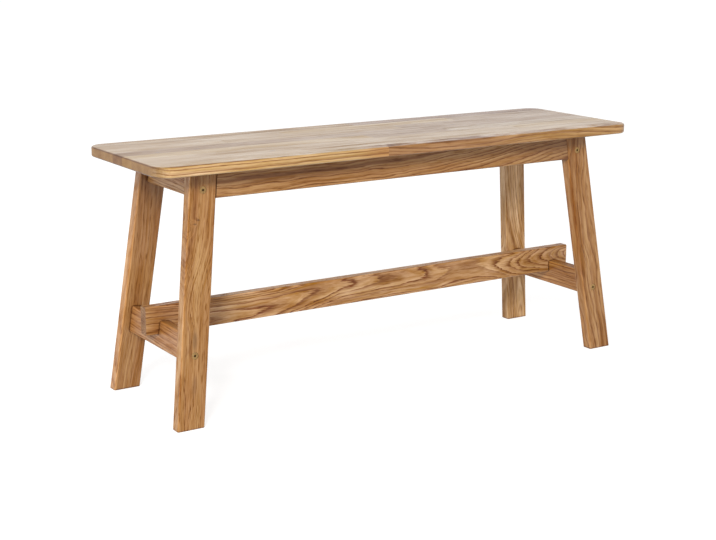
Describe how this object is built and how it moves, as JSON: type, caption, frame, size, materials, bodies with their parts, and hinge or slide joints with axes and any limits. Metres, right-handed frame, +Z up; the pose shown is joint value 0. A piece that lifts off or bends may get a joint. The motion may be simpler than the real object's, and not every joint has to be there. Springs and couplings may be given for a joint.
{
  "type": "wooden bench",
  "caption": "Backless indoor bench with a stave panel seat, splayed board legs, aprons under the seat and a lapped stretcher frame near the floor.",
  "frame": {"origin": "on the floor, under the middle of the seat", "axes": "+X along the seat to the right, +Y to the back, +Z up"},
  "size_m": [1.01, 0.3, 0.45],
  "materials": {
    "oak_seat": "satin oil, pale where it mirrors the room",
    "oak_frame": "satin oil over straight and cathedral grain",
    "beech": "plain, fluted dowel stock",
    "bronzed_steel": "dark bronzed",
    "zinc_steel": "bright zinc"
  },
  "bodies": {
    "root": {"seat_stave_1a": "oak_seat", "seat_stave_1b": "oak_seat", "seat_stave_2a": "oak_seat", "seat_stave_2b": "oak_seat", "seat_stave_2c": "oak_seat", "seat_stave_3a": "oak_seat", "seat_stave_3b": "oak_seat", "seat_stave_3c": "oak_seat", "seat_stave_4a": "oak_seat", "seat_stave_4b": "oak_seat", "seat_stave_4c": "oak_seat", "seat_stave_5a": "oak_seat", "seat_stave_5b": "oak_seat", "seat_stave_6a": "oak_seat", "seat_stave_6b": "oak_seat", "seat_stave_6c": "oak_seat", "seat_stave_7a": "oak_seat", "seat_stave_7b": "oak_seat", "seat_stave_7c": "oak_seat", "seat_stave_8a": "oak_seat", "seat_stave_8b": "oak_seat", "leg_front_left": "oak_frame", "leg_front_right": "oak_frame", "leg_back_left": "oak_frame", "leg_back_right": "oak_frame", "side_apron_front": "oak_frame", "side_apron_back": "oak_frame", "end_apron_left": "oak_frame", "end_apron_right": "oak_frame", "end_stretcher_left": "oak_frame", "end_stretcher_right": "oak_frame", "long_stretcher": "oak_frame", "connector_bolts": "bronzed_steel", "barrel_nuts": "zinc_steel", "locating_dowels": "beech", "apron_dowels": "beech", "seat_screws": "zinc_steel", "lap_screws": "zinc_steel"}
  },
  "joints": []
}
